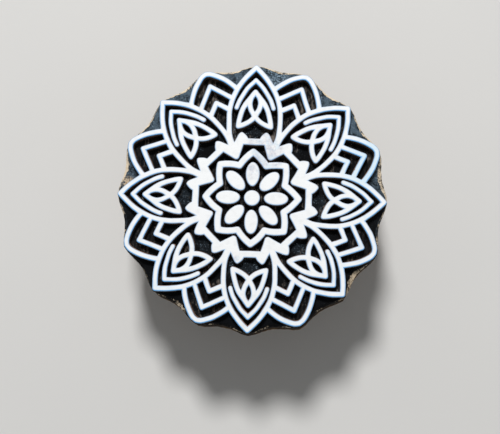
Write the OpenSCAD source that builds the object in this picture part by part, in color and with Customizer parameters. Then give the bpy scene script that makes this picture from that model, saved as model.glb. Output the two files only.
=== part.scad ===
// Hand-carved wooden printing block, printing face up.
// A flower of raised lines stands on the carved ground of a scalloped block.
// A bar handle is let into the back of the block and held by two wood screws.
// The origin is at the middle of the face that the handle stands on.
// Petals are numbered clockwise, seen from the printing face, from the one on +Y.

/* [Printing face] */
// Radius of the circle through the tips of the main petals, on their centre-line
face_r = 49.4; // [48:0.1:75]
// Height of the raised lines above the carved ground
relief_h = 4; // [2:0.1:8]
// Width of the lines of the main and rear petals
line_w = 2.06; // [1.4:0.02:2.3]
// Width of the chevron lines inside the rear petals
chevron_w = 1.96; // [1.4:0.02:2.4]
// Width of the free arc inside each main petal
arc_w = 1.82; // [1.2:0.02:2]
// Width of the lines of the leaf knots
knot_w = 2.02; // [1.4:0.02:2.2]

/* [Centre flower] */
// Radius of the round boss at the centre
boss_r = 3.05; // [2:0.05:3.6]
// Distance from the centre to the middle of each seed petal
seed_r = 9; // [8.8:0.05:10]
// Length of a seed petal
seed_l = 9.2; // [6:0.1:10]
// Width of a seed petal
seed_w = 5.24; // [3:0.02:5.8]
// Width of the star band round the seed petals
star_w = 2.6; // [1.6:0.05:3]

/* [Gear ring] */
// Width of the ring at its flats
ring_w = 2.63; // [1.6:0.01:3.2]
// How far the outer teeth stand out from the flats
tooth_h = 2.35; // [0.5:0.05:2.8]

/* [Block] */
// Thickness of the block below the carved ground
block_t = 28; // [24:0.5:45]
// How far the ground reaches past the lines at the petal tips
ground_margin = 0.2; // [0.05:0.05:4]
// How far the outline dips between two petal tips
lobe_depth = 3.1; // [0:0.1:3.2]
// How far the chipped rim slopes outward at the petal tips
rim_tip_w = 0.35; // [0.1:0.05:2]
// How far the chipped rim slopes outward between the petals
rim_w = 1; // [0.4:0.05:3]
// Height of the chipped rim
rim_h = 1.6; // [0.5:0.1:6]
// How far the sides flare outward between the rim and the back
flare = 1.6; // [0:0.1:6]

/* [Handle] */
// Length of the handle
handle_l = 78; // [60:1:88]
// Width of the handle
handle_w = 27; // [22:0.5:36]
// Height of the handle below the back of the block
handle_h = 30; // [20:0.5:45]
// Depth of the housing in the back of the block that the handle is let into
housing_depth = 4; // [2:0.5:8]
// Radius of the finger grooves along the sides of the handle
groove_r = 13; // [10:0.5:18]
// Depth of the finger grooves
groove_depth = 4; // [1:0.5:5]
// Radius of the rounded corners of the handle
corner_r = 7; // [2:0.5:11]

/* [Screws] */
// Distance from each screw to its end of the handle
screw_inset = 15; // [10:0.5:24]
// Diameter of the shank
screw_d = 4.2; // [3:0.1:5]
// Diameter of the countersunk head
head_d = 8.4; // [7:0.1:10]
// How far the heads lie below the standing face of the handle
head_recess = 0.6; // [0.2:0.1:3]
// How far the screws reach into the block past the floor of the housing
screw_bite = 14; // [8:0.5:15]
// Width of the driver slot
slot_w = 1.1; // [0.6:0.1:1.6]
// Depth of the driver slot
slot_depth = 1.2; // [0.5:0.1:1.6]

/* [Fits] */
// Gap round the handle in its housing
housing_fit = 0.1; // [0.05:0.05:0.5]
// Gap round a screw and its head
screw_fit = 0.05; // [0.02:0.01:0.3]

/* [Hidden] */
petals = 8;
pitch = 360 / petals;
half_pitch = pitch / 2;

// The outlines below are drawn for a flower of this radius and scaled to face_r
drawn_r = 49.4;
k = face_r / drawn_r;

// Heights above the standing face
back_z = handle_h;
ground_z = back_z + block_t;
tongue_z = back_z + housing_depth;
screw_z = tongue_z + screw_bite;

// Outline of the carved ground: its reach at the main and at the rear petal tips
rear_r = 49.95;
main_reach = face_r + line_w / 2 + ground_margin;
rear_reach = rear_r * k + line_w / 2 + ground_margin;
lobe_steps = 8;
lobe_power = 1.5;

// Screws: their places, the 45 degree cone under the head and the blunt point
screw_x = handle_l / 2 - screw_inset;
head_h = (head_d - screw_d) / 2;
point_h = 5;
point_d = 0.4;
hole_r = screw_d / 2 + screw_fit;

// How far a cut runs past the face that it opens
past = 1;

// Right-hand halves of the centre-lines, base to tip, with the petal along +Y
petal_base = [[8.15, 20.5], [9.15, 23.6], [9.6, 28.4], [9.48, 33], [8.5, 37.3]];
petal_line = concat(petal_base, [[6.6, 41.5], [3.72, 45.6], [0, 49.4]]);
rear_side = [[9.1, 40.95], [8.2, 42.5], [6.95, 44.4], [5.4, 46.35], [3.4, 48.2], [1.6, 49.5]];
rear_line = concat(rear_side, [[0, rear_r]]);
mid_chevron = [[6.1, 38.25], [0, 45.05]];
inner_chevron = [[3.65, 34.35], [0, 38.3]];
arc_line = [[6.9, 33.95], [6.25, 35.8], [5.42, 37.6], [3.1, 41.4], [0, 44.65]];

// Leaf knot: half of its outside, and a line from its foot over the crossing to its tip
knot_side = [[6.15, 26.9], [5.9, 29], [4.85, 32.7], [3.55, 35.4], [2.1, 37.4], [0, 40.15]];
knot_foot = [[5.6, 27.05], [4.3, 27.5], [2.6, 28.35], [1.15, 29.45], [0, 30.85]];
knot_cross = concat(knot_foot, [[-1.35, 33.05], [-1.85, 34.6], [-1.98, 36.2], [-1.4, 38.2], [-0.4, 39.6]]);

// Star band: centre-line from a point of the star to the valley beside it
star_tip_r = 17.4;
star_valley_r = 13.1;
star_bulge_h = 0.35;

// Gear ring: its flats, and the flank of an inner tooth up to the tooth's tip
ring_in_r = 19.87;
ring_flat = 3.85;
inner_tooth = [[5.1, 15.6], [5.4, 14.8]];
inner_tooth_r = 15.55;

// Outer teeth: where their outline turns, how high it is there and the notch after it
tooth_x = [2.15, 2.75, 3.9, 4.65, 5.4, 6.1];
tooth_share = [0, 0.42, 0.86, 1, 0.85, 0.42];
notch = [7.25, 20.85];

// Turns a point clockwise about the centre, seen from the printing face
function turn(p, a) = [p.x * cos(a) + p.y * sin(a), p.y * cos(a) - p.x * sin(a)];
function flip(line) = [for (i = [len(line) - 1:-1:0]) [-line[i].x, line[i].y]];
function reverse(line) = [for (i = [len(line) - 1:-1:0]) line[i]];
function scaled(line) = [for (p = line) p * k];
function polar(a, r) = [r * sin(a), r * cos(a)];
function unit(v) = v / norm(v);
function cross_z(a, b) = a.x * b.y - a.y * b.x;

// A smooth curve through a few points, cut in steps between each two
function spline_point(a, b, c, d, t) =
    0.5 * (2 * b + (c - a) * t + (2 * a - 5 * b + 4 * c - d) * t * t
        + (3 * b - a - 3 * c + d) * t * t * t);
function curve(p, steps) = let (last = len(p) - 1) concat(
    [for (i = [0:last - 1], s = [0:steps - 1])
        let (before = i > 0 ? p[i - 1] : 2 * p[0] - p[1],
             after = i < last - 1 ? p[i + 2] : 2 * p[last] - p[last - 1])
        spline_point(before, p[i], p[i + 1], after, s / steps)],
    [p[last]]);

// One edge of a line of width 2 * d, to the left of its direction of travel.
// A corner that opens on this side is rounded, and any other is mitred.
round_from = 25;
function edge_at(a, b, c, d) =
    let (u = unit(b - a), v = unit(c - b),
         bend = atan2(cross_z(u, v), u * v),
         nu = [-u.y, u.x], nv = [-v.y, v.x])
    bend < -round_from
        ? let (steps = ceil(-bend / 30), start = atan2(nu.y, nu.x))
            [for (s = [0:steps]) b + d * [cos(start + bend * s / steps), sin(start + bend * s / steps)]]
        : [b + (nu + nv) * d / (1 + nu * nv)];
function edge(p, d) = [for (i = [1:len(p) - 2]) each edge_at(p[i - 1], p[i], p[i + 1], d)];
function closed_edge(p, d) = edge(concat([p[len(p) - 1]], p, [p[0]]), d);

// A round end, from the left edge of a line to its right edge
function round_end(a, b, d) =
    let (u = unit(b - a), start = atan2(u.x, -u.y), steps = 6)
    [for (s = [0:steps]) b + d * [cos(start - 180 * s / steps), sin(start - 180 * s / steps)]];

// Draws an open line of one width with round ends
module line(p, w) {
    back = reverse(p);
    n = len(p);
    polygon(concat(edge(p, w / 2), round_end(p[n - 2], p[n - 1], w / 2),
        edge(back, w / 2), round_end(p[1], p[0], w / 2)));
}

// Draws a closed line of one width
module loop(p, w) {
    left = closed_edge(p, w / 2);
    right = closed_edge(reverse(p), w / 2);
    polygon(concat(left, right), paths = [
        [for (i = [0:len(left) - 1]) i],
        [for (i = [0:len(right) - 1]) len(left) + i]]);
}

// Both halves of a line that is symmetric about its petal's axis
function both(half) = concat(half, [for (i = [1:len(half) - 1]) flip(half)[i]]);

// Stands a flat shape on the carved ground
module raised() {
    color("whitesmoke") translate([0, 0, ground_z]) linear_extrude(relief_h) children();
}

// Turns a copy of a shape to petal number i, counted in steps of one pitch
module at_petal(i) {
    rotate(-pitch * i) children();
}

// Outline of the block at one height: a lobe at each petal tip, main and rear.
// It is grown by tip_grow at the tips and by dip_grow in the dips between them.
outline_n = 2 * petals * lobe_steps;
function block_outline(tip_grow, dip_grow) = [for (i = [0:outline_n - 1])
    let (a = i * half_pitch / lobe_steps, dip = pow(abs(sin(a * petals)), lobe_power),
         main = (1 + cos(a * petals)) / 2, reach = main_reach * main + rear_reach * (1 - main))
    polar(a, reach - lobe_depth * dip + tip_grow * (1 - dip) + dip_grow * dip)];

// The block without its housing and holes: outlines at three heights, joined by flat faces
module blank() {
    rings = [
        [back_z, rim_tip_w + flare, rim_w + flare],
        [ground_z - rim_h, rim_tip_w, rim_w],
        [ground_z, 0, 0]];
    points = concat([[0, 0, back_z], [0, 0, ground_z]],
        [for (r = rings, p = block_outline(r[1], r[2])) [p.x, p.y, r[0]]]);
    function at(ring, i) = 2 + ring * outline_n + i % outline_n;
    polyhedron(points, [for (i = [0:outline_n - 1]) each concat(
        [[0, at(0, i + 1), at(0, i)], [1, at(2, i), at(2, i + 1)]],
        [for (j = [0, 1]) each [
            [at(j, i), at(j, i + 1), at(j + 1, i + 1)],
            [at(j, i), at(j + 1, i + 1), at(j + 1, i)]]])]);
}

// Outline of the handle with its rounded corners, grown by a gap
module handle_outline(gap) {
    l = handle_l / 2 - corner_r;
    w = handle_w / 2 - corner_r;
    square([handle_l + 2 * gap, 2 * w], center = true);
    square([2 * l, handle_w + 2 * gap], center = true);
    for (x = [-l, l], y = [-w, w]) translate([x, y]) circle(corner_r + gap, $fn = 64);
}

module block() {
    color("sienna") difference() {
        blank();
        translate([0, 0, back_z - past]) linear_extrude(housing_depth + past) handle_outline(housing_fit);
        for (x = [-screw_x, screw_x]) {
            translate([x, 0, tongue_z - past])
                cylinder(r = hole_r, h = screw_bite + past + screw_fit - point_h, $fn = 48);
            translate([x, 0, screw_z + screw_fit - point_h])
                cylinder(r1 = hole_r, r2 = point_d / 2 + screw_fit, h = point_h, $fn = 48);
        }
    }
}

module handle() {
    color("peru") difference() {
        linear_extrude(tongue_z) handle_outline(0);
        for (side = [-1, 1])
            translate([0, side * (handle_w / 2 + groove_r - groove_depth), back_z / 2])
                rotate([0, 90, 0]) cylinder(r = groove_r, h = handle_l + 2 * past, center = true, $fn = 96);
        for (x = [-screw_x, screw_x]) translate([x, 0, 0]) {
            translate([0, 0, -past]) cylinder(r = hole_r, h = tongue_z + 2 * past, $fn = 48);
            translate([0, 0, -past]) cylinder(r = head_d / 2 + screw_fit, h = head_recess + past, $fn = 48);
            translate([0, 0, head_recess])
                cylinder(r1 = head_d / 2 + screw_fit, r2 = hole_r, h = head_h, $fn = 48);
        }
    }
}

module handle_screw(side) {
    color("darkgoldenrod") translate([side * screw_x, 0, 0]) difference() {
        union() {
            translate([0, 0, head_recess]) cylinder(d1 = head_d, d2 = screw_d, h = head_h, $fn = 48);
            translate([0, 0, head_recess + head_h])
                cylinder(d = screw_d, h = screw_z - point_h - head_recess - head_h, $fn = 48);
            translate([0, 0, screw_z - point_h])
                cylinder(d1 = screw_d, d2 = point_d, h = point_h, $fn = 48);
        }
        translate([-slot_w / 2, -head_d / 2 - past, head_recess - past])
            cube([slot_w, head_d + 2 * past, slot_depth + past]);
    }
}

module centre_boss() {
    raised() circle(boss_r, $fn = 64);
}

module seed_petal(i) {
    at_petal(i - 1) raised() polygon([for (a = [0:15:345])
        [seed_w / 2 * cos(a), seed_r * k + seed_l / 2 * sin(a)]]);
}

module star_band() {
    steps = 4;
    tip = [0, star_tip_r];
    valley = polar(half_pitch, star_valley_r);
    out = unit([tip.y - valley.y, valley.x - tip.x]);
    side = [for (s = [0:steps]) let (t = s / steps)
        tip + (valley - tip) * t + out * star_bulge_h * 4 * t * (1 - t)];
    point = both(reverse(side));
    raised() loop(scaled([for (i = [0:petals - 1], j = [0:len(point) - 2])
        turn(point[j], -pitch * i)]), star_w);
}

module gear_ring() {
    flank = [for (j = [0:len(tooth_x) - 1])
        [tooth_x[j], ring_in_r + ring_w + tooth_h * tooth_share[j]]];
    tooth = curve(concat(flank, [notch]), 2);
    inside = concat([[ring_flat, ring_in_r]], inner_tooth, [polar(half_pitch, inner_tooth_r)]);
    outside = concat(flip(tooth), tooth);
    hollow = concat(flip(inside), inside);
    outer = [for (i = [0:petals - 1], p = outside) turn(p, pitch * i)];
    inner = [for (i = [0:petals - 1], j = [1:len(hollow) - 1]) turn(hollow[j], pitch * i)];
    polygon(scaled(concat(outer, inner)), paths = [
        [for (i = [0:len(outer) - 1]) i],
        [for (i = [0:len(inner) - 1]) len(outer) + i]]);
}

module main_petal() {
    line(scaled(both(curve(petal_line, 3))), line_w);
}

module rear_petal() {
    line(scaled(both(curve(rear_line, 2))), line_w);
    line(scaled(both(mid_chevron)), chevron_w);
    line(scaled(both(inner_chevron)), chevron_w);
}

// Ring, main petals and rear petals are one connected island
module petal_lattice() {
    raised() union() {
        gear_ring();
        for (i = [0:petals - 1]) {
            at_petal(i) main_petal();
            at_petal(i + 0.5) rear_petal();
        }
    }
}

module inner_arc(i) {
    at_petal(i - 1) raised() line(scaled(both(curve(arc_line, 3))), arc_w);
}

module leaf_knot(i) {
    crossing = scaled(curve(knot_cross, 2));
    at_petal(i - 1) raised() union() {
        line(scaled(both(curve(knot_side, 2))), knot_w);
        line(crossing, knot_w);
        line(flip(crossing), knot_w);
    }
}

block();
handle();
handle_screw(-1);  // handle_screw_1
handle_screw(1);  // handle_screw_2
centre_boss();
star_band();
petal_lattice();
for (i = [1:petals]) {
    seed_petal(i);
    inner_arc(i);
    leaf_knot(i);
}
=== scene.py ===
import functools
import math

import bmesh
import bpy
from bpy.props import FloatProperty, FloatVectorProperty, PointerProperty
from mathutils import Matrix, Vector, noise
from mathutils.bvhtree import BVHTree


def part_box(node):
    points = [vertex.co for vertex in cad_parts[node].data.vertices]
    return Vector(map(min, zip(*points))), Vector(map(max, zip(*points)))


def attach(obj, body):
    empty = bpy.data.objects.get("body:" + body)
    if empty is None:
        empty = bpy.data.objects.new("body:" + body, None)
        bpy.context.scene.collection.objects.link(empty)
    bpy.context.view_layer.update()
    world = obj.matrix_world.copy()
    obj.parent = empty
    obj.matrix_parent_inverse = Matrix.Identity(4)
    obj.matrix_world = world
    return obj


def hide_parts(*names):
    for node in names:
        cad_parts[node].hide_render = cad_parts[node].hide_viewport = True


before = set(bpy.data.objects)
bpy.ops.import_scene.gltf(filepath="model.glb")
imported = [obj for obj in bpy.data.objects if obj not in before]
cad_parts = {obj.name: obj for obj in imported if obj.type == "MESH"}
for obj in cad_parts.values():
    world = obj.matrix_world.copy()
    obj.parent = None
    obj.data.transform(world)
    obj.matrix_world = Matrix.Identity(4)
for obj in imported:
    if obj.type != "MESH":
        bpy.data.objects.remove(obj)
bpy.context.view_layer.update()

bl_info = {
    "name": "Printing stamp",
    "version": (1, 0, 0),
    "blender": (4, 5, 0),
    "location": "3D View > Sidebar > Printing stamp",
    "description": "Dresses the solids of a wooden printing stamp as carved, painted and worn wood",
    "category": "Object",
}

BODY = "root"
MM = 0.001
PETALS = 8
SAME_PLACE = 0.001 * MM   # points closer than this are one
SAME_LEVEL = 0.01 * MM    # points of one level differ by less than this in height
NEXT_LEVEL = 0.1 * MM     # and those of different levels by more than this

# Heights in the frame: the printing face, the carved ground, the back of the block and the top of
# the part of the handle that is let into it
FACE_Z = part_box("petal_lattice")[1].z
GROUND_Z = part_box("petal_lattice")[0].z
BACK_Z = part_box("block")[0].z
TONGUE_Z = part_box("handle")[1].z

# What the carver left outside the drawn rim at each dip between two petals, in millimetres and
# anticlockwise from the right: first of the whole rim, then of the chipped slope alone
DIPS = ((0.4, 0.5), (0.3, 0), (0.3, 0), (1.2, 0), (0.6, 0), (0.4, 0), (0.1, 0), (0.6, 0.15),
        (0.1, 0.1), (0.2, 0), (-0.4, 0.4), (0, 0), (0, 0), (0, 0), (-0.9, 0.8), (0.2, 0))
DIP_SHAPE = 2.5           # the higher, the more evenly a dip is filled from tip to tip

# Mesh steps of the block
AROUND = 512                    # points on each ring
GROUND_RINGS = 64               # rings from the rim to the centre of the ground
SLOPE_STEPS = (0.35, 0.7, 1.0)  # rings on the slope under the rim, as shares of its drop
SIDE_LEVELS = 20                # rings from there down the sides
BACK_STEPS = (0.33, 0.67, 1.0)  # rings on the rounded edge of the back, as shares of its turn

# Mesh steps of a raised line
LINE_STEP = 1.3 * MM            # distance between the points along it
LINE_SHORTEST = 0.3 * MM        # its shorter edges are drawn together
LINE_CUTS = 2                   # cuts between its foot and its face

# Seeds that keep the chips of one kind apart from those of another
BITE, DROOP, HOLLOW, LEVEL = 3.0, 9.0, 17.0, 23.0

# Spots of the plan that years of work have marked, and spots of painted light: a bluish sky tint on
# the paint, and grey ground that is partly wear and partly painted light. Each has the x and y of
# its middle, the radius within which the mark is full and the radius where it ends, in millimetres.
RUBBED_PAINT = ((2.6, 21.5, 4.0, 5.5), (5.5, 16.5, 5.0, 7.0), (-0.3, 9.8, 1.2, 3.6),
                (-4.9, -22.8, 0.7, 1.5))
RUBBED_THROUGH = (-0.5, 11.6, 0.6, 2.0)
# painted sky tint: a bluish spot on the paint near the rim
SKY_TINT_SPOT = (42, 14, 4, 13)
LOST_PAINT = (37.9, 12.0, 0.25, 0.5)
# grey ground at these spots, all on the lamp side: wear, and painted light
WORN_AND_LIT_GROUND = ((-17, 35.5, 3.5, 9), (20.5, 36, 3.5, 9), (-7.3, 24.5, 2.2, 5), (7.2, 24.5, 2.2, 5))
SPATTERED_GROUND = (7.5, 46, 2.0, 5.5)
TORN_GROUND = (-47.1, 4.7, 1.0, 3.0)
GNAWED_RIM = ((-46.5, 10, 4, 8), (48.4, 6.9, 4, 8), (-24.9, -41.3, 1.2, 3.4),
              (37.4, -29.5, 1.5, 5), (47.6, -15.8, 1.2, 4))
BARE_SIDE = (36.5, -31.5, 2, 10)

# The stage: the picture in pixels, the width of the camera's sensor in millimetres, and how far the
# floor reaches and where the lamp hangs in metres and radians
PICTURE = (500, 434)
SENSOR = 36
FLOOR_REACH = 3.0
LAMP_AWAY = 1.5
LAMP_WIDTH = 0.26
LAMP_HEIGHT = math.radians(62)
LAMP_SIDE = math.radians(-8)


def size(name, text, default, low=0.0, high=10.0):
    """A length in metres that a user can change, given here in millimetres."""
    return FloatProperty(name=name, description=text, default=default * MM, min=low * MM,
                         max=high * MM, precision=5, unit="LENGTH")


def angle(name, text, default):
    """An angle that a user can change, given here in degrees."""
    return FloatProperty(name=name, description=text, default=math.radians(default),
                         subtype="ANGLE")


def colour(name, text, default):
    """A colour that a user can change."""
    return FloatVectorProperty(name=name, description=text, default=default, min=0, max=1,
                               size=3, subtype="COLOR")


class StampSizes(bpy.types.PropertyGroup):
    """Sizes of the hand work that the looks add to the plain solids."""
    edge_round: size("Worn edge", "Width of the rounded edge along the raised lines",
                     0.34, 0.02, 0.5)
    # painted shade: width of the band of bluish shade inside the worn edge
    bloom_width: size("Bloom width", "Width of the thin bluish paint inside the worn edge",
                      0.24, 0.02, 0.4)
    line_waver: size("Line waver", "How far a raised line strays from its drawn course",
                     0.12, 0, 0.4)
    wall_slope: size("Wall slope", "How much wider a raised line is at its foot, on each side",
                     0.22, 0, 0.4)
    gouge_size: size("Gouge width", "Width of one scoop of the gouge on the ground", 2.4, 1, 6)
    gouge_depth: size("Gouge depth", "Height of the ridges left between the scoops", 0.45, 0, 0.8)
    side_waver: size("Side waver", "Depth of the flats and hollows cut into the sides",
                     0.5, 0, 1.5)
    back_edge: size("Back edge", "Rounding of the edge round the back of the block", 0.9, 0.1, 3)
    handle_edge: size("Handle edge", "Rounding of the edges of the handle", 1.3, 0.1, 3)
    screw_edge: size("Screw edge", "Rounding of the edges of a screw's head and slot",
                     0.12, 0.02, 0.3)


class StampColours(bpy.types.PropertyGroup):
    """Colours of the stamp's finishes and of the floor."""
    paint: colour("Paint", "White block paint on the printing lines", (0.88, 0.89, 0.895))
    # thin paint where it is rubbed, and a painted bluish sky tint towards the rim
    paint_thin: colour("Thin paint", "Places where the white paint is thin and looks bluish",
                       (0.62, 0.79, 0.90))
    # grey of the edge band where it faces the lamp
    paint_edge: colour("Paint edge", "Edges of the lines that face the lit side",
                       (0.50, 0.52, 0.54))
    # painted shade: the bluish edge band where it faces away from the lamp
    paint_bloom: colour("Bluish edge", "Edges of the lines that face away from the light",
                        (0.16, 0.46, 0.86))
    paint_worn: colour("Worn paint", "Grey-violet blotches where the paint is rubbed",
                       (0.46, 0.44, 0.52))
    stain: colour("Stain", "Wood of the ground, blackened by ink", (0.0045, 0.005, 0.006))
    # dust, laid outside the petals and on the rim's slope only on the lamp side, so partly painted
    # light
    slate: colour("Slate", "Dusty, bluish parts of the stained ground near the rim",
                  (0.090, 0.132, 0.172))
    # grey streaks: wear, and painted light at spots on the lamp side
    grey: colour("Grey wood", "Worn grey-brown streaks on the ground between the lines",
                 (0.170, 0.148, 0.130))
    fleck: colour("Fleck", "Dried paint flecks on the ground", (0.25, 0.33, 0.40))
    wall: colour("Wall", "Wood on the walls of the lines", (0.360, 0.255, 0.190))
    # painted light: pale brown of the walls that face the lamp
    wall_lit: colour("Rubbed wall", "Walls rubbed bare on the lit side of the lines",
                     (0.70, 0.40, 0.26))
    raw: colour("Raw wood", "Freshly chipped wood along the rim", (0.80, 0.67, 0.50))
    side: colour("Side wood", "Oiled wood on the sides of the block", (0.250, 0.150, 0.062))
    side_dark: colour("Dark grain", "Dark grain and ink on the sides of the block",
                      (0.045, 0.026, 0.015))
    handle: colour("Handle wood", "Oiled wood of the handle", (0.330, 0.170, 0.075))
    handle_dark: colour("Handle grain", "Dark grain and hand dirt on the handle",
                        (0.085, 0.038, 0.018))
    brass: colour("Brass", "Dulled brass of the screws", (0.62, 0.50, 0.28))
    tarnish: colour("Tarnish", "Tarnish on the brass", (0.16, 0.11, 0.055))
    floor: colour("Floor", "Plain pale floor", (0.70, 0.69, 0.67))


class StampView(bpy.types.PropertyGroup):
    """Where the camera stands and how the stamp is lit."""
    distance: size("Distance", "Distance from the camera to the printing face", 420, 300, 2000)
    lean: angle("Lean", "How far the camera leans towards the lower edge of the picture", 4.6)
    sway: angle("Sway", "How far the camera leans towards the right of the picture", 1.0)
    roll: angle("Roll", "How far the stamp is turned clockwise in the picture", 1.95)
    pixel: FloatProperty(name="Pixel", default=0.374, precision=4,
                         description="Width of one pixel at the printing face, in millimetres")
    centre: FloatVectorProperty(name="Centre", default=(251.9, 197.9), size=2,
                                description="Pixel at which the middle of the face is seen")
    key: FloatProperty(name="Key light", default=0.745, min=0, max=2,
                       description="Share of the full level that the key light gives")
    fill: FloatProperty(name="Fill light", default=0.24, min=0, max=2,
                        description="Share of the full level that the surroundings give")


# Finishes


class Link:
    """A socket of a finish. Sums, differences and products of links add Math nodes."""

    def __init__(self, made, socket):
        self.made = made
        self.socket = socket

    def math(self, operation, *values):
        return self.made.add("Math", {"operation": operation}, dict(enumerate(values)))

    def __add__(self, other):
        return self.math("ADD", self, other)

    def __sub__(self, other):
        return self.math("SUBTRACT", self, other)

    def __rsub__(self, other):
        return self.math("SUBTRACT", other, self)

    def __mul__(self, other):
        return self.math("MULTIPLY", self, other)

    __radd__ = __add__

    def most(self, other):
        """The larger of two values."""
        return self.math("MAXIMUM", self, other)

    def wave(self):
        """A sine of the value, from 0 to 1."""
        return self.math("SINE", self) * 0.5 + 0.5

    def rise(self, low, high):
        """0 below low, 1 above high, and a smooth step between. It falls if low is the larger."""
        return self.made.add("MapRange", {"interpolation_type": "SMOOTHSTEP"},
                             {"Value": self, "From Min": low, "From Max": high})


class Nodes:
    """A node tree in the making."""

    def __init__(self, tree):
        self.tree = tree
        tree.nodes.clear()

    def add(self, kind, settings=None, sockets=None, out=0):
        """Adds a node: its settings first, then the values or links of its sockets. Returns the
        chosen output."""
        node = self.tree.nodes.new("ShaderNode" + kind)
        for name, value in (settings or {}).items():
            setattr(node, name, value)
        for key, value in (sockets or {}).items():
            if isinstance(value, Link):
                self.tree.links.new(value.socket, node.inputs[key])
            else:
                node.inputs[key].default_value = value
        return Link(self, node.outputs[out]) if node.outputs else None


class Finish(Nodes):
    """One procedural material in the making. Its widths, heights and depths are in millimetres."""

    def __init__(self, name):
        self.material = bpy.data.materials.new(name)
        self.material.use_nodes = True
        super().__init__(self.material.node_tree)
        self.place = self.add("TexCoord", out="Object")
        self.x, self.y, self.z = self.parts(self.place)
        self.north, self.up = self.parts(self.add("TexCoord", out="Normal"))[1:]

    def parts(self, vector):
        """The three numbers of a vector."""
        split = self.add("SeparateXYZ", sockets={0: vector})
        return [Link(self, s) for s in split.socket.node.outputs]

    def mix(self, under, over, share):
        """One colour over another."""
        full = [tuple(c) + (1,) if not isinstance(c, Link) else c for c in (under, over)]
        return self.add("Mix", {"data_type": "RGBA"}, {0: share, 6: full[0], 7: full[1]}, out=2)

    def drawn_on(self, stretch):
        """Where a pattern is drawn: the object's coordinates, or stretched along each axis."""
        if not stretch:
            return self.place
        return self.add("Mapping", sockets={"Vector": self.place,
                                            "Scale": [1 / s for s in stretch]})

    def cloudy(self, width, detail=2.0, rough=0.5, stretch=None, twist=0.0):
        """Soft noise from 0 to 1 with patches of about this width."""
        return self.add("TexNoise", sockets={
            "Vector": self.drawn_on(stretch), "Scale": 1 / (width * MM), "Detail": detail,
            "Roughness": rough, "Distortion": twist})

    def cells(self, width, stretch=None):
        """Distance to the middle of the nearest cell, from 0, for cells of about this width."""
        return self.add("TexVoronoi", sockets={
            "Vector": self.drawn_on(stretch), "Scale": 1 / (width * MM)}, out="Distance")

    def grain(self, under, pitch, sway):
        """Dark late wood of growth rings, and fine fibres, both along X and from 0 to 1. The rings
        have this pitch, and their middle lies this far under the floor."""
        drift = self.cloudy(14, 3, stretch=(3.5, 1, 1)) * sway
        across = self.add("CombineXYZ", sockets={1: self.y, 2: self.z + under * MM})
        far = self.add("VectorMath", {"operation": "LENGTH"}, {0: across}, out="Value")
        late = (far * (math.tau / (pitch * MM)) + drift).wave()
        return late, self.cloudy(0.5, 3, 0.6, stretch=(24, 1, 1), twist=0.1)

    def stored(self, name):
        """A value that the shaping stored on each vertex."""
        return self.add("Attribute", {"attribute_name": name}, out="Fac")

    def near(self, *spots):
        """1 at these spots of the plan and 0 away from them. Each is an x, a y, the radius within
        which it is full and the radius where it ends."""
        flat = self.add("CombineXYZ", sockets={0: self.x, 1: self.y})
        shares = []
        for x, y, full, end in spots:
            away = self.add("VectorMath", {"operation": "DISTANCE"},
                            {0: flat, 1: (x * MM, y * MM, 0)}, out="Value")
            shares.append(away.rise(end * MM, full * MM))
        return functools.reduce(Link.most, shares)

    def along_y(self, zero, one):
        """0 from one line of the plan outwards and 1 from the other, with a smooth step between."""
        return self.y.rise(zero * MM, one * MM)

    def over_floor(self, zero, one):
        """0 from one height over the floor and 1 from the other, with a smooth step between."""
        return self.z.rise(zero * MM, one * MM)

    def over_ground(self, zero, one, level=None):
        """0 from one height over the carved ground and 1 from the other, with a smooth step
        between. A height that strays can stand in for the true one."""
        return (level or self.z).rise(GROUND_Z + zero * MM, GROUND_Z + one * MM)

    def strayed(self, *drifts):
        """The height, moved up or down by each value's difference from 0.5, times its width."""
        level = self.z
        for value, width in drifts:
            level = level + (value - 0.5) * (width * MM)
        return level

    def close(self, base, roughness, height, depth, metallic=0.0, gloss=0.5):
        """Ends the material. The fine relief is a height from 0 to about 1, this deep in all."""
        bump = self.add("Bump", sockets={"Strength": 1.0, "Distance": depth * MM,
                                         "Height": height})
        shader = self.add("BsdfPrincipled", sockets={
            "Base Color": base, "Roughness": roughness, "Metallic": metallic,
            "Specular IOR Level": gloss, "Normal": bump})
        self.add("OutputMaterial", sockets={"Surface": shader})
        return self.material


def lighter(tone, factor):
    """A colour made lighter, or darker with a factor below 1."""
    return [v * factor for v in tone]


def bare_walls(f, c):
    """Half-bare stained wood on the walls of the lines, darker towards their foot, with painted
    light: paler and browner where they face the lamp.
    """
    depth = f.z.rise(GROUND_Z, FACE_Z)
    streaks = f.cloudy(1.7, 4, 0.6, stretch=(1, 1, 4))
    # painted light: 1 on walls that face the lamp, which are made browner
    lit = f.north.rise(0.05, 0.60)
    share = streaks.rise(0.30, 0.72) * 0.62 + 0.20
    bare = f.mix(c.stain, c.wall, depth * share * (lit * 0.4 + 0.6))
    # painted light: pale brown patches on the walls that face the lamp, near their top
    painted_light_patches = f.cloudy(4.5, 2, 0.6).rise(0.42, 0.58) * lit
    bare = f.mix(bare, c.wall_lit, painted_light_patches * f.over_ground(-1, 2.5) * 0.8)
    return f.mix(bare, c.fleck, streaks.rise(0.62, 0.80) * depth * 0.25)


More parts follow.
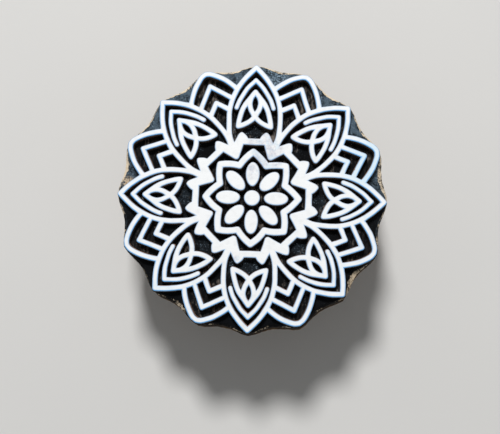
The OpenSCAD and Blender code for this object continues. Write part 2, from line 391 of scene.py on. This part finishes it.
def painted_lines(c):
    """White paint on the printing faces with painted sky tint and edge shade, and half-bare wood
    with painted light on the walls.
    """
    f = Finish("painted_lines")
    top = f.up.rise(0.90, 0.97)
    wall = f.up.rise(0.42, 0.25)
    mottle = f.cloudy(2.2, 3)
    paint = f.mix(c.paint, lighter(c.paint, 0.93), mottle.rise(0.45, 0.75))

    # bluish: painted sky tint here and there towards the rim, thin paint where it is rubbed, and
    # painted shade along each edge
    rubbed = f.near(*RUBBED_PAINT)
    # painted sky tint: bluish patches towards the rim and at one spot; where the paint is rubbed it
    # is thin paint
    rimward = 1 - f.near((0, 0, 30, 46))
    thin = f.near(SKY_TINT_SPOT) * 0.7 + rimward * f.cloudy(4.5, 2).rise(0.50, 0.70) * 0.35
    thin = thin + rubbed * f.cloudy(1.8, 3, 0.6).rise(0.44, 0.60) * 0.5
    paint = f.mix(paint, c.paint_thin, thin)
    # painted shade: bluish on edges that face away from the lamp, most towards the rim; grey on
    # those that face it
    painted_shade = f.stored("painted_shade") * (0.55 + rimward * 0.45)
    paint = f.mix(paint, c.paint_bloom, painted_shade * 0.95)
    edge = f.mix(c.paint_edge, c.paint_bloom, painted_shade)
    paint = f.mix(edge, paint, top.most(f.cloudy(1.6, 1).rise(0.60, 0.72) * 0.6))

    # rubbed and nicked paint
    blotch = f.cloudy(1.25, 2, 0.6)
    worn = rubbed * (f.cloudy(2.6, 3, 0.65).rise(0.34, 0.72) * 0.8
                     + blotch.rise(0.50, 0.80) * 0.35)
    worn = worn + f.cloudy(0.7, 2).rise(0.74, 0.80) * 0.4
    worn = worn + rubbed * f.cloudy(0.8, 3, 0.7).rise(0.50, 0.62) * 0.45
    worn = worn + f.near(RUBBED_THROUGH) * 0.35
    paint = f.mix(paint, c.paint_worn, worn * 0.5)
    nicks = f.cloudy(0.9, 2).rise(0.66, 0.72) * (1 - top)
    paint = f.mix(paint, c.wall, (nicks * 0.8).most(f.near(LOST_PAINT)))

    base = f.mix(paint, bare_walls(f, c), wall)
    height = f.cloudy(0.9, 3, 0.6, stretch=(5, 1, 1)) * 0.6 + blotch * 0.4
    return f.close(base, 0.5 + wall * 0.35 + worn * 0.2, height, 0.05, gloss=0.3)


def gouged_ground(f, c, patches, grit, ragged):
    """Blackened ground with flecks: dusty slate outside the petals on the lamp side, black there on
    the far side, as dust with painted light and shade; grey between the lines, partly painted
    light.
    """
    dip = f.stored("outside")
    # dust, and painted light: slate outside the petals on the lamp side, fading to black, painted
    # shade, on the far side
    dust_and_light = dip * f.along_y(-9, 16)
    well = f.near((0, 0, 27, 32)) - f.near((0, 0, 21, 23))
    well = well * f.cloudy(7, 1).rise(0.42, 0.60)
    ground = f.mix(c.stain, c.slate, (patches * 0.6 + grit * 0.4).rise(0.36, 0.58)
                   * (dust_and_light * 0.9 + well * 0.12))
    # grey streaks: wear, and painted light at the spots on the lamp side
    worn = f.near(*WORN_AND_LIT_GROUND) + (1 - f.near((0, 0, 36, 43))) * 0.10
    worn = worn + f.cloudy(3.8, 3, 0.6).rise(0.54, 0.62) * 0.8 + 0.01
    streaks = f.cloudy(1.0, 4, 0.65, stretch=(1, 4, 1)).rise(0.42, 0.70)
    ground = f.mix(ground, c.grey, streaks * (1 - dip) * worn)
    flecks = grit.rise(0.58, 0.70) * (dust_and_light * 0.7 + well * 0.6 + 0.04)
    ground = f.mix(ground, c.fleck, flecks)
    # real paint specks near the rim, in a mix of the two bluish colours
    specks = f.near(SPATTERED_GROUND) * (grit * 0.7 + ragged * 0.3).rise(0.47, 0.60)
    ground = f.mix(ground, f.mix(c.paint_thin, c.paint_bloom, 0.3), specks * 0.40)
    torn = f.near(TORN_GROUND) * (grit * 0.4 + ragged * 0.6).rise(0.42, 0.50)
    return f.mix(ground, f.mix(c.raw, c.side, ragged.rise(0.35, 0.75)), torn * 0.85)


def oiled_side(f, c, late, fibres, upper, patch):
    """Oiled sides with dark level grain, and ink that has run down from the rim, further on the
    side away from the lamp as painted shade.
    """
    wood = f.mix(c.side, c.side_dark,
                 late.rise(0.50, 0.98) * 0.45 + fibres.rise(0.48, 0.70) * 0.55)
    wood = f.mix(wood, lighter(c.side, 1.7),
                 f.cloudy(18, 2, stretch=(3, 1, 1)).rise(0.45, 0.75) * 0.35)
    wood = f.mix(wood, c.side_dark, f.cloudy(11, 4, 0.65).rise(0.52, 0.70) * 0.5)
    smear = f.cloudy(9, 3, 0.6) * 0.6 + f.cloudy(2.2, 3, 0.6, stretch=(1, 1, 2.4)) * 0.4
    bare = (patch + (smear - 0.5) * 2.4).rise(0.45, 0.80) * f.over_ground(-16, -6)
    # painted shade: the ink reaches 18 mm further down on the side away from the lamp
    inked = f.strayed((smear, 30)) - upper * (18 * MM) - bare * (34 * MM)
    return f.mix(wood, c.stain, f.over_ground(-28, -22, inked) * 0.92)


def carved_block(c):
    """Blackened gouged ground, chipped raw rim, and oiled sides with dark level grain; lighter on
    the lamp side and darker on the far side, as painted light and shade.
    """
    f = Finish("carved_block")
    patches = f.cloudy(3.2, 4, 0.6)
    grit = f.cloudy(0.7, 3, 0.7)
    torn = f.cloudy(5, 3)
    ragged = f.cloudy(1.1, 3, 0.65)
    # painted light: upper is 0 on the side away from the lamp and 1 on the lamp side
    upper = f.along_y(-24, 14)
    ground = gouged_ground(f, c, patches, grit, ragged)
    patch = f.near(BARE_SIDE)
    late, fibres = f.grain(60, 2.3, 9)
    wood = oiled_side(f, c, late, fibres, upper, patch)

    # the arris under the slope of the rim is chipped to raw wood here and there, mostly on its
    # upper half, the lamp side, where it is partly painted light
    gnawed = f.near(*GNAWED_RIM)
    level = f.strayed((ragged, 2.2), (torn, 2.4)) - gnawed * (0.35 * MM)
    arris = f.over_ground(-0.40, -0.70, level)
    loose = torn * 0.45 + ragged * 0.40 + grit * 0.20 + upper * 0.11 + patch * 0.10
    chipped = arris * loose.rise(0.56, 0.62).most(gnawed * grit.rise(0.44, 0.54))
    low = f.over_ground(-1.7, -2.1, f.strayed((torn, 3), (grit, 2)))

    # painted light: the slope under the rim has slate patches only on the lamp side
    skin = f.mix(c.stain, c.slate, patches.rise(0.4, 0.6) * upper * 0.7)
    skin = f.mix(skin, wood, low)
    raw = f.mix(c.raw, c.side, (grit.rise(0.54, 0.74) * 0.8).most(patch * 0.4))
    skin = f.mix(skin, raw, chipped * (1 - low))
    base = f.mix(skin, ground, f.up.rise(0.70, 0.90) * f.over_ground(-1.0, -0.2))
    height = (late * 0.4 + fibres * 0.8) * low + (patches * 0.5 + grit * 0.8) * (1 - low)
    return f.close(base, 0.8 + patches * 0.2, height, 0.16, gloss=0.06)


def oiled_handle(c):
    """Oiled, hand-polished wood with growth rings and pores along the handle, darker where it is
    gripped and scuffed where it stands."""
    f = Finish("oiled_handle")
    late, fibres = f.grain(22, 2.7, 7)
    wood = f.mix(c.handle, c.handle_dark,
                 late.rise(0.35, 0.98) * 0.55 + fibres.rise(0.46, 0.72) * 0.45)
    wood = f.mix(wood, lighter(c.handle, 1.5),
                 f.cloudy(15, 2, stretch=(3, 1, 1)).rise(0.48, 0.75) * 0.3)
    pores = f.cells(0.8, stretch=(10, 1, 1)).rise(0.20, 0.08)
    wood = f.mix(wood, lighter(c.handle_dark, 0.35), pores * 0.7)
    grip = f.over_floor(3, 12) * f.over_floor(28, 18)
    wood = f.mix(wood, c.handle_dark, (grip * 0.45 + 0.25) * f.cloudy(9, 3).rise(0.40, 0.66))
    scuffs = f.cloudy(3.5, 4, 0.7).rise(0.60, 0.70) * f.over_floor(2.5, 0.5)
    wood = f.mix(wood, lighter(c.handle, 2.0), scuffs * 0.4)
    height = fibres + late * 0.4 - pores * 0.6
    return f.close(wood, 0.52 + fibres * 0.22 - grip * 0.08, height, 0.12, gloss=0.28)


def dull_brass(c):
    """Dulled brass with patches of tarnish and fine turning marks."""
    f = Finish("dull_brass")
    patches = f.cloudy(1.6, 4, 0.65)
    tarnish = patches.rise(0.44, 0.66)
    base = f.mix(c.brass, c.tarnish, tarnish * 0.85)
    marks = f.cloudy(0.25, 2, stretch=(14, 1, 1))
    return f.close(base, 0.34 + tarnish * 0.35, marks + patches, 0.02,
                   metallic=1.0 - tarnish * 0.3)


def plain_floor(c):
    """Plain pale matt floor."""
    f = Finish("plain_floor")
    base = f.mix(c.floor, lighter(c.floor, 0.97), f.cloudy(60, 2))
    return f.close(base, 0.9, f.cloudy(4, 2), 0.02, gloss=0.2)


def finish_named(maker):
    """The finish that a maker function gives, made once."""
    found = bpy.data.materials.get(maker.__name__)
    return found or maker(bpy.context.scene.stamp_colours)


# Shaping


def solid(node):
    """The mesh of a node of the frame, which is only read."""
    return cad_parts[node].data


def merged_copy(node):
    """A mesh to work on, started from a node of the frame with its triangles' corners joined."""
    bm = bmesh.new()
    bm.from_mesh(solid(node))
    bmesh.ops.remove_doubles(bm, verts=bm.verts, dist=SAME_PLACE)
    return bm


def join_flat(bm, degrees):
    """Joins faces and edges that turn by less than this many degrees."""
    bmesh.ops.dissolve_limit(bm, angle_limit=math.radians(degrees), verts=bm.verts,
                             edges=bm.edges)


def way_at(a):
    """The level way outwards at an angle."""
    return Vector((math.cos(a), math.sin(a), 0))


def is_level(edge):
    """True where both ends of an edge are at one height."""
    return abs(edge.verts[0].co.z - edge.verts[1].co.z) < SAME_PLACE


def is_wall(face):
    """True where a face stands up rather than lies."""
    return abs(face.normal.z) < 0.5


def put(bm, name, maker, nodes, sharp=24):
    """Makes a finished piece of a mesh: shading, material, body and what it stands for."""
    bmesh.ops.recalc_face_normals(bm, faces=bm.faces)
    mesh = bpy.data.meshes.new(name)
    bm.to_mesh(mesh)
    bm.free()
    mesh.shade_smooth()
    mesh.set_sharp_from_angle(angle=math.radians(sharp))
    piece = bpy.data.objects.new(name, mesh)
    bpy.context.scene.collection.objects.link(piece)
    mesh.materials.append(finish_named(maker))
    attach(piece, BODY)
    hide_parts(*nodes)


def extruded(bm, edges):
    """Extrudes edges in place. Returns the new vertex of each old one, and the new edges."""
    made = bmesh.ops.extrude_edge_only(bm, edges=edges)["geom"]
    new = {g for g in made if isinstance(g, bmesh.types.BMVert)}
    partner = {}
    for v in new:
        for e in v.link_edges:
            if e.other_vert(v) not in new:
                partner[e.other_vert(v)] = v
    return partner, [g for g in made if isinstance(g, bmesh.types.BMEdge) and set(g.verts) <= new]


def ring_edges(bm, ring):
    """The edges between each vertex of a closed ring and the one before it."""
    return [bm.edges.get((ring[i - 1], ring[i])) for i in range(len(ring))]


def next_ring(bm, ring):
    """Extrudes a closed ring of vertices and returns the new one in the same order."""
    partner = extruded(bm, ring_edges(bm, ring))[0]
    return [partner[v] for v in ring]


# Raised lines


def waver(point, width, seed):
    """A smooth sideways drift, from -1 to 1 each way, that changes over about this width."""
    where = Vector((point.x, point.y, 0)) / width + Vector((7.3, -3.1, 1.7)) * seed
    other = where + Vector((31.7, 11.3, 5.9))
    return Vector((noise.noise(where), noise.noise(other), 0))


def split_long(bm, edges, step):
    """Cuts each edge into parts of about this length."""
    most_cuts = 9
    for cuts in range(1, most_cuts + 1):
        long = [e for e in edges
                if e.is_valid and min(most_cuts, int(e.calc_length() / step)) == cuts]
        if long:
            bmesh.ops.subdivide_edges(bm, edges=long, cuts=cuts, use_grid_fill=True)


def outward(v):
    """The mean way out of the walls at a vertex, longer at a corner so that an offset along it
    keeps its width, but never so long that a sharp corner grows a spike."""
    least_share = 0.6
    walls = [f.normal for f in v.link_faces if is_wall(f)]
    mean = sum(walls, Vector()).normalized()
    return mean / max(least_share, min(mean.dot(w) for w in walls))


def walls_of(node):
    """The walls of a raised line alone, in even steps along its course, and closed at its foot."""
    bm = merged_copy(node)
    bm.normal_update()
    bmesh.ops.delete(bm, geom=[f for f in bm.faces if not is_wall(f)], context="FACES")
    join_flat(bm, 1)
    short = [e for e in bm.edges if is_level(e) and e.calc_length() < LINE_SHORTEST]
    bmesh.ops.collapse(bm, edges=short)
    split_long(bm, [e for e in bm.edges if is_level(e)], LINE_STEP)
    upright = [e for e in bm.edges if not is_level(e)]
    bmesh.ops.subdivide_edges(bm, edges=upright, cuts=LINE_CUTS, use_grid_fill=True)
    foot = [e for e in bm.edges if e.is_boundary and e.verts[0].co.z < GROUND_Z + NEXT_LEVEL]
    bmesh.ops.triangle_fill(bm, use_beauty=True, edges=foot)
    bm.normal_update()
    return bm


def wear_edge(bm, inward, painted_shade, sizes):
    """Rounds the upper edge of a raised line in two steps, lays the band of painted shade along it
    and closes the face. Inward holds the way in from each vertex of the edge."""
    wear = sizes.edge_round
    steps = ((wear * 0.35, wear * 0.65, 1), (wear * 0.65, wear * 0.35, 1),
             (sizes.bloom_width, 0, 0))
    rim = [e for e in bm.edges if all(v in inward for v in e.verts)]
    for width, height, kept in steps:
        partner, rim = extruded(bm, rim)
        for v, new in partner.items():
            new[painted_shade] = v[painted_shade] * kept
        inward = {partner[v]: way for v, way in inward.items()}
        for v, way in inward.items():
            v.co += way * width + Vector((0, 0, height))
    bmesh.ops.triangle_fill(bm, use_beauty=True, edges=rim)


def carve_line(node, name):
    """A raised line as a carver leaves it: wavering, wider at its foot, and worn at its edges."""
    sizes = bpy.context.scene.stamp_sizes
    bm = walls_of(node)
    painted_shade = bm.verts.layers.float.new("painted_shade")
    moves, inward = {}, {}
    for v in bm.verts:
        out = outward(v)
        depth = (FACE_Z - v.co.z) / (FACE_Z - GROUND_Z)
        slow, quick = waver(v.co, 4.5 * MM, 1), waver(v.co, 2.2 * MM, 2)
        drift = slow + quick * 0.3
        cut = noise.noise(v.co / (1.1 * MM)) * 0.3 * depth
        moves[v] = drift * sizes.line_waver + out * sizes.wall_slope * (depth + cut)
        if depth < 0.01:
            moves[v].z -= sizes.edge_round
            inward[v] = -out
    for v, move in moves.items():
        v.co += move
    for v, way in inward.items():  # painted shade: edges that face away from the lamp get the most bluish shade
        v[painted_shade] = min(1, max(0.25, 0.60 + 0.60 * way.y))
    wear_edge(bm, inward, painted_shade, sizes)
    put(bm, name, painted_lines, [node])


def carve_each(node, name):
    """The raised lines of one kind, one at each petal."""
    for i in range(1, PETALS + 1):
        carve_line(f"{node}_{i}", f"{name}_{i}")


# Block


def outline_of(node, height, least):
    """The outline of a node at one height: a function that gives its radius at an angle. Points
    nearer to the middle than least aren't part of it."""
    found = {}
    for v in solid(node).vertices:
        if abs(v.co.z - height) < SAME_LEVEL and v.co.xy.length > least:
            found[round(math.atan2(v.co.y, v.co.x), 4)] = v.co.xy.length
    angles = sorted(found)

    def radius(turn):
        a = math.atan2(math.sin(turn), math.cos(turn))
        after = next((i for i, b in enumerate(angles) if b > a), 0)
        low, high = angles[after - 1], angles[after]
        share = ((a - low) % math.tau) / ((high - low) % math.tau)
        return found[low] * (1 - share) + found[high] * share
    return radius


def left_at_dip(a):
    """How far the whole rim and the slope under it stand out of the drawn outline at an angle:
    most in the middle of a dip, and nothing at the petals' tips."""
    turn = a / math.tau * len(DIPS)
    share = 1 - abs(2 * (turn % 1) - 1) ** DIP_SHAPE
    return [left * share * MM for left in DIPS[int(turn)]]


def petals_reach(angles, least):
    """How far out the petals' lines come at each angle, looked for from well outside the least
    radius of the block."""
    lattice = solid("petal_lattice")
    petals = BVHTree.FromPolygons([v.co for v in lattice.vertices],
                                  [p.vertices for p in lattice.polygons])
    half_way_up = Vector((0, 0, (FACE_Z + GROUND_Z) / 2))
    found = {}
    for a in angles:
        way = way_at(a)
        start = way * least * 1.5 + half_way_up
        found[a] = petals.ray_cast(start, -way)[0].xy.length
    return found


def scoops(x, y, width):
    """Height of gouged wood from 0 in the middle of a scoop to 1 on the ridge between two."""
    nearest = noise.voronoi(Vector((x, y * 0.8, 0)) / width)[0][0]
    return min(1.0, nearest ** 2 * 2.2)


class Block:
    """The block in the making. It is laid in rings: from the rim to the centre of the ground, and
    from the rim down the sides to the back."""

    def __init__(self, sizes):
        self.sizes = sizes
        self.rim_z = max(v.co.z for v in solid("block").vertices
                         if v.co.z < GROUND_Z - NEXT_LEVEL)
        self.side_foot = BACK_Z + sizes.back_edge
        self.angles = [math.tau * i / AROUND for i in range(AROUND)]
        self.measure()
        self.chip_rim()
        self.bm = bmesh.new()
        self.outside = self.bm.verts.layers.float.new("outside")
        self.rim = bmesh.ops.create_circle(self.bm, cap_ends=False, segments=AROUND,
                                           radius=1.0)["verts"]
        self.rim.sort(key=lambda v: math.atan2(v.co.y, v.co.x) % math.tau)

    def measure(self):
        """How far out the block comes at each angle, at the ground, under the slope of the rim and
        at the back, and how far out the petals come."""
        least = 0.9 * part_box("block")[1].x
        drawn = [outline_of("block", z, least) for z in (GROUND_Z, self.rim_z, BACK_Z)]
        self.top, self.foot, self.back = {}, {}, {}
        for a in self.angles:
            whole, slope = left_at_dip(a)
            top, foot, back = (outline(a) + whole for outline in drawn)
            self.top[a], self.foot[a], self.back[a] = top, foot + slope, back + slope
        self.petals = petals_reach(self.angles, least)

    def chip_rim(self):
        """Where the edge of the ground is left when the rim is chipped. It is never chipped away
        from under the petals, which waver and are wider at their foot, most so at a corner."""
        at_corner = 1.7
        self.kept = self.sizes.wall_slope * at_corner + self.sizes.line_waver
        self.edge, self.bite = {}, {}
        for a in self.angles:
            chipped = self.top[a] - (self.foot[a] - self.top[a]) * 0.5 * self.chip(a, BITE)
            self.edge[a] = max(chipped, self.petals[a] + self.kept)
            self.bite[a] = max(0, self.top[a] - self.edge[a])

    def chip(self, a, seed):
        """How deep the rim is chipped at an angle, from 0 to 1."""
        where = way_at(a) * self.top[a]
        soft = noise.noise(where / (3.1 * MM) + Vector((seed, 0, 0)))
        sharp = noise.cell(where / (1.1 * MM) + Vector((0, seed, 0)))
        return min(1.0, max(0.0, 0.35 + soft * 0.5 + sharp * 0.35))

    def lay(self, ring, place, *at):
        """Lays a ring where a function puts it: its radius and height at each angle."""
        for v, a in zip(ring, self.angles):
            r, z = place(a, *at)
            v.co = (r * math.cos(a), r * math.sin(a), z)
            v[self.outside] = min(1, max(0, (r - self.petals[a]) / MM + 1))

    def rim_at(self, a):
        """The rim, which droops where it is chipped and free of the petals."""
        r = self.edge[a]
        free = min(1, (r - self.petals[a] - self.kept) / (0.5 * MM))
        return r, GROUND_Z - 0.25 * MM * self.chip(a, DROOP) * free

    def ground_at(self, a, share, fade):
        """The gouged ground, at a share of the way from the centre to the rim."""
        r = self.edge[a] * share
        ridge = scoops(r * math.cos(a), r * math.sin(a), self.sizes.gouge_size)
        return r, GROUND_Z + self.sizes.gouge_depth * ridge * fade

    def slope_at(self, a, share):
        """The chipped slope under the rim, at a share of the way down."""
        hollow = self.bite[a] * 0.6 * self.chip(a, HOLLOW + share)
        uneven = 0.2 * (self.chip(a, LEVEL + share) - 0.5)
        r = self.edge[a] + (self.foot[a] - self.edge[a]) * share - hollow
        return r, GROUND_Z - (GROUND_Z - self.rim_z) * (share - uneven)

    def side_at(self, a, share):
        """The uneven side, at a share of the way down."""
        z = self.rim_z + (self.side_foot - self.rim_z) * share
        where = Vector((math.cos(a) * 50, math.sin(a) * 50, z / MM * 0.5))
        broad, narrow = noise.noise(where / 4.5), noise.noise(where / 1.4)
        hollow = 0.5 + 0.5 * broad + 0.3 * narrow
        fade = min(1, share * 4)
        r = (self.foot[a] + (self.back[a] - self.foot[a]) * share
             - self.sizes.side_waver * fade * max(0, hollow))
        return r, z

    def carve_ground(self):
        """Lays the rim and the ground inside it."""
        self.lay(self.rim, self.rim_at)
        ring = self.rim
        for i in range(1, GROUND_RINGS):
            ring = next_ring(self.bm, ring)
            self.lay(ring, self.ground_at, 1 - i / GROUND_RINGS, min(1, i / 3))
        bmesh.ops.pointmerge(self.bm, verts=ring, merge_co=(0, 0, GROUND_Z))

    def carve_sides(self):
        """Lays the slope, the sides and the rounded edge round the back. Returns the last ring."""
        ring = self.rim
        for share in SLOPE_STEPS:
            ring = next_ring(self.bm, ring)
            self.lay(ring, self.slope_at, share)
        for i in range(1, SIDE_LEVELS + 1):
            ring = next_ring(self.bm, ring)
            self.lay(ring, self.side_at, i / SIDE_LEVELS)
        last = [v.co.xy.length for v in ring]
        for share in BACK_STEPS:
            ring = next_ring(self.bm, ring)
            turn = share * math.pi / 2
            inward = self.sizes.back_edge * (1 - math.cos(turn))
            z = self.side_foot - self.sizes.back_edge * math.sin(turn)
            for v, a, r in zip(ring, self.angles, last):
                v.co = ((r - inward) * math.cos(a), (r - inward) * math.sin(a), z)
        return ring

    def close_back(self, ring):
        """Closes the flat back inside its last ring, with the housing that the handle is let into.
        The screws' holes in the housing's floor lie nearer to the middle than its corners."""
        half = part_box("handle")[1]
        corners = {(round(v.co.x, 6), round(v.co.y, 6)) for v in solid("block").vertices
                   if abs(v.co.z - TONGUE_Z) < SAME_LEVEL
                   and max(abs(v.co.x) / half.x, abs(v.co.y) / half.y) > 0.8}
        corners = sorted(corners, key=lambda p: math.atan2(p[1], p[0]))
        housing = bmesh.ops.create_circle(self.bm, cap_ends=False, segments=len(corners),
                                          radius=0.5)["verts"]
        housing.sort(key=lambda v: math.atan2(v.co.y, v.co.x))
        for v, (x, y) in zip(housing, corners):
            v.co = (x, y, BACK_Z)
        outer, mouth = ring_edges(self.bm, ring), ring_edges(self.bm, housing)
        bmesh.ops.triangle_fill(self.bm, use_beauty=True, edges=outer + mouth)
        floor = next_ring(self.bm, housing)
        for v in floor:
            v.co.z = TONGUE_Z
        bmesh.ops.contextual_create(self.bm, geom=floor)


def carve_block():
    """The block: gouged ground, chipped rim, uneven sides, and a back with a housing."""
    block = Block(bpy.context.scene.stamp_sizes)
    block.carve_ground()
    block.close_back(block.carve_sides())
    put(block.bm, "carved_block", carved_block, ["block"], sharp=28)


# Handle and screws


def round_over(bm, width, segments, turn, chosen):
    """Rounds the edges that turn by more than this many degrees and have both ends chosen."""
    bm.normal_update()
    edges = [e for e in bm.edges
             if len(e.link_faces) == 2 and e.calc_face_angle(0) > math.radians(turn)
             and all(chosen(v.co) for v in e.verts)]
    bmesh.ops.bevel(bm, geom=edges, offset=width, offset_type="OFFSET", segments=segments,
                    profile=0.5, affect="EDGES", clamp_overlap=True, material=-1)


def shape_handle():
    """The handle: the solid with its edges rounded over below the block, but for those of the
    screws' holes."""
    screws = [sum(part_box(f"handle_screw_{i}"), Vector()) / 2 for i in (1, 2)]
    hole_reach = 6 * MM

    def chosen(p):
        return p.z < BACK_Z - 1 * MM and all((p.xy - s.xy).length >= hole_reach for s in screws)

    bm = merged_copy("handle")
    join_flat(bm, 0.5)
    round_over(bm, bpy.context.scene.stamp_sizes.handle_edge, 3, 30, chosen)
    put(bm, "handle_bar", oiled_handle, ["handle"], sharp=32)


def turn_screw(node, name):
    """A screw: the solid with the edges of its head and slot broken."""
    head_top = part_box(node)[0].z + 2 * MM
    bm = merged_copy(node)
    join_flat(bm, 0.5)
    round_over(bm, bpy.context.scene.stamp_sizes.screw_edge, 2, 35, lambda p: p.z < head_top)
    put(bm, name, dull_brass, [node])


# Stage


def lay_floor(scene):
    """A plain square floor, wide enough to fill the picture."""
    bm = bmesh.new()
    bmesh.ops.create_grid(bm, x_segments=1, y_segments=1, size=FLOOR_REACH)
    mesh = bpy.data.meshes.new("floor")
    bm.to_mesh(mesh)
    bm.free()
    mesh.materials.append(finish_named(plain_floor))
    floor = bpy.data.objects.new("floor", mesh)
    scene.collection.objects.link(floor)


def set_surroundings(scene, fill):
    """Dim light from all round, in whose place the camera, gloss and glass see a pale backdrop."""
    scene.world = bpy.data.worlds.new("studio")
    scene.world.use_nodes = True
    w = Nodes(scene.world.node_tree)
    seen = functools.reduce(Link.most, [w.add("LightPath", out=f"Is {kind} Ray")
                                        for kind in ("Camera", "Glossy", "Transmission")])
    light = w.add("Background", sockets={"Color": (0.96, 0.985, 1.0, 1), "Strength": fill})
    backdrop = w.add("Background", sockets={"Color": (0.86, 0.86, 0.85, 1)})
    surface = w.add("MixShader", sockets={0: seen, 1: light, 2: backdrop})
    w.add("OutputWorld", sockets={"Surface": surface})


def hang_lamp(scene, level):
    """One round lamp, high up and beyond the upper edge of the picture. At a level of 1 it lights
    a white surface that lies under it to full white."""
    aim = Vector((math.sin(LAMP_SIDE) * math.cos(LAMP_HEIGHT),
                  math.cos(LAMP_SIDE) * math.cos(LAMP_HEIGHT), math.sin(LAMP_HEIGHT)))
    key = bpy.data.lights.new("key", "AREA")
    key.shape = "DISK"
    key.size = LAMP_WIDTH
    key.energy = level * math.pi ** 2 * LAMP_AWAY ** 2 / math.sin(LAMP_HEIGHT)
    lamp = bpy.data.objects.new("key", key)
    turned = aim.to_track_quat("Z", "Y").to_matrix().to_4x4()
    lamp.matrix_world = Matrix.Translation(aim * LAMP_AWAY) @ turned
    scene.collection.objects.link(lamp)


def aim_camera(scene, view):
    """The camera over the face, leaning as the photograph's does."""
    roll = Matrix.Rotation(-view.roll, 3, "Z")
    lean = Matrix.Rotation(-view.lean, 3, "X")
    sway = Matrix.Rotation(-view.sway, 3, "Y")
    turned = (sway @ lean @ roll).transposed()
    pixel = view.pixel * MM
    wide, high = PICTURE
    seen_at = Vector(((wide / 2 - view.centre[0]) * pixel, (view.centre[1] - high / 2) * pixel,
                      view.distance))
    spot = turned @ seen_at + Vector((0, 0, FACE_Z))
    camera = bpy.data.objects.new("camera", bpy.data.cameras.new("camera"))
    camera.matrix_world = Matrix.Translation(spot) @ turned.to_4x4()
    camera.data.sensor_width = SENSOR
    camera.data.lens = SENSOR * view.distance / pixel / wide
    camera.data.clip_start = 0.01
    camera.data.clip_end = 20
    scene.collection.objects.link(camera)
    scene.camera = camera


# Operators


class STAMP_OT_block(bpy.types.Operator):
    """Carve the block: ground, rim, sides and back"""
    bl_idname = "stamp.block"
    bl_label = "Block"

    def execute(self, context):
        carve_block()
        return {"FINISHED"}


class STAMP_OT_handle(bpy.types.Operator):
    """Shape the handle that is let into the back of the block"""
    bl_idname = "stamp.handle"
    bl_label = "Handle"

    def execute(self, context):
        shape_handle()
        return {"FINISHED"}


class STAMP_OT_screws(bpy.types.Operator):
    """Make the two screws that hold the handle"""
    bl_idname = "stamp.screws"
    bl_label = "Screws"

    def execute(self, context):
        for i in (1, 2):
            turn_screw(f"handle_screw_{i}", f"wood_screw_{i}")
        return {"FINISHED"}


class STAMP_OT_lattice(bpy.types.Operator):
    """Carve the ring with its main and rear petals"""
    bl_idname = "stamp.lattice"
    bl_label = "Ring and petals"

    def execute(self, context):
        carve_line("petal_lattice", "carved_petals")
        return {"FINISHED"}


class STAMP_OT_star(bpy.types.Operator):
    """Carve the star band"""
    bl_idname = "stamp.star"
    bl_label = "Star band"

    def execute(self, context):
        carve_line("star_band", "carved_star")
        return {"FINISHED"}


class STAMP_OT_boss(bpy.types.Operator):
    """Carve the round boss at the centre"""
    bl_idname = "stamp.boss"
    bl_label = "Centre boss"

    def execute(self, context):
        carve_line("centre_boss", "carved_boss")
        return {"FINISHED"}


class STAMP_OT_seeds(bpy.types.Operator):
    """Carve the oval seed petals"""
    bl_idname = "stamp.seeds"
    bl_label = "Seed petals"

    def execute(self, context):
        carve_each("seed_petal", "carved_seed")
        return {"FINISHED"}


class STAMP_OT_arcs(bpy.types.Operator):
    """Carve the free arc inside each main petal"""
    bl_idname = "stamp.arcs"
    bl_label = "Inner arcs"

    def execute(self, context):
        carve_each("inner_arc", "carved_arc")
        return {"FINISHED"}


class STAMP_OT_knots(bpy.types.Operator):
    """Carve the leaf knot inside each main petal"""
    bl_idname = "stamp.knots"
    bl_label = "Leaf knots"

    def execute(self, context):
        carve_each("leaf_knot", "carved_knot")
        return {"FINISHED"}


class STAMP_OT_stage(bpy.types.Operator):
    """Set the floor, the lights and the camera"""
    bl_idname = "stamp.stage"
    bl_label = "Stage"

    def execute(self, context):
        scene = context.scene
        view = scene.stamp_view
        lay_floor(scene)
        set_surroundings(scene, view.fill)
        hang_lamp(scene, view.key)
        aim_camera(scene, view)
        scene.view_settings.view_transform = "Standard"
        return {"FINISHED"}


STEPS = (STAMP_OT_block, STAMP_OT_handle, STAMP_OT_screws, STAMP_OT_lattice, STAMP_OT_star,
         STAMP_OT_boss, STAMP_OT_seeds, STAMP_OT_arcs, STAMP_OT_knots, STAMP_OT_stage)
GROUPS = {"stamp_sizes": StampSizes, "stamp_colours": StampColours, "stamp_view": StampView}


class STAMP_PT_panel(bpy.types.Panel):
    """Sizes, colours and the steps that build the stamp, in order"""
    bl_idname = "STAMP_PT_panel"
    bl_label = "Printing stamp"
    bl_space_type = "VIEW_3D"
    bl_region_type = "UI"
    bl_category = "Printing stamp"

    def draw(self, context):
        for name, group in GROUPS.items():
            box = self.layout.box()
            for value in group.__annotations__:
                box.prop(getattr(context.scene, name), value)
        for step in STEPS:
            self.layout.operator(step.bl_idname)


CLASSES = (*GROUPS.values(), *STEPS, STAMP_PT_panel)


def register():
    for made in CLASSES:
        bpy.utils.register_class(made)
    for name, group in GROUPS.items():
        setattr(bpy.types.Scene, name, PointerProperty(type=group))


def unregister():
    for name in GROUPS:
        delattr(bpy.types.Scene, name)
    for made in reversed(CLASSES):
        bpy.utils.unregister_class(made)


def main():
    """Builds every piece in order."""
    register()
    bpy.ops.stamp.block()
    bpy.ops.stamp.handle()
    bpy.ops.stamp.screws()
    bpy.ops.stamp.lattice()
    bpy.ops.stamp.star()
    bpy.ops.stamp.boss()
    bpy.ops.stamp.seeds()
    bpy.ops.stamp.arcs()
    bpy.ops.stamp.knots()
    bpy.ops.stamp.stage()
    bpy.context.view_layer.update()


if __name__ == "__main__":
    main()
